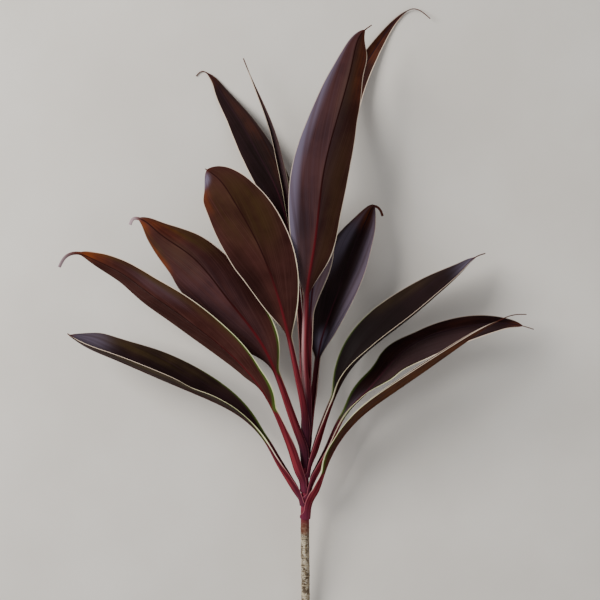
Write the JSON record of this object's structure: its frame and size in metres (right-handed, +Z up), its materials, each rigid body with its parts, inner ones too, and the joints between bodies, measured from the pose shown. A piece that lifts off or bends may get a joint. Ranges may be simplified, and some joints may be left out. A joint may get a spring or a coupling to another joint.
{
  "type": "cut leafy shoot of a ti plant",
  "caption": "Leafy shoot of a dark ti plant: folded, channelled blades clasp a ringed cane in a spiral, cut below the crown and lying on its back.",
  "frame": {"origin": "on the surface the shoot lies on, under the middle of its outline", "axes": "+Y from the cane's cut end towards the leaf tips, +X to the right as the shoot is looked down on, +Z up off the surface"},
  "size_m": [0.569, 0.7792, 0.115],
  "materials": {
    "cane_bark": "dry, mottled grey-brown bark with ring scars",
    "leaf_russet": "satin red-brown with a crimson midrib and a pale edge",
    "leaf_plum": "glossy blackish purple with a pale edge"
  },
  "bodies": {
    "root": {"cane": "cane_bark", "leaf_01_right_lowest": "leaf_russet", "leaf_02_left_lowest": "leaf_plum", "leaf_03_right_lower": "leaf_plum", "leaf_04_left_lower": "leaf_russet", "leaf_05_right_middle": "leaf_plum", "leaf_06_left_middle": "leaf_russet", "leaf_07_right_upper": "leaf_plum", "leaf_08_left_broad": "leaf_russet", "leaf_09_front_tall": "leaf_russet", "leaf_10_back_left": "leaf_plum", "leaf_11_back_right": "leaf_plum", "leaf_12_young_narrow": "leaf_plum"}
  },
  "joints": []
}
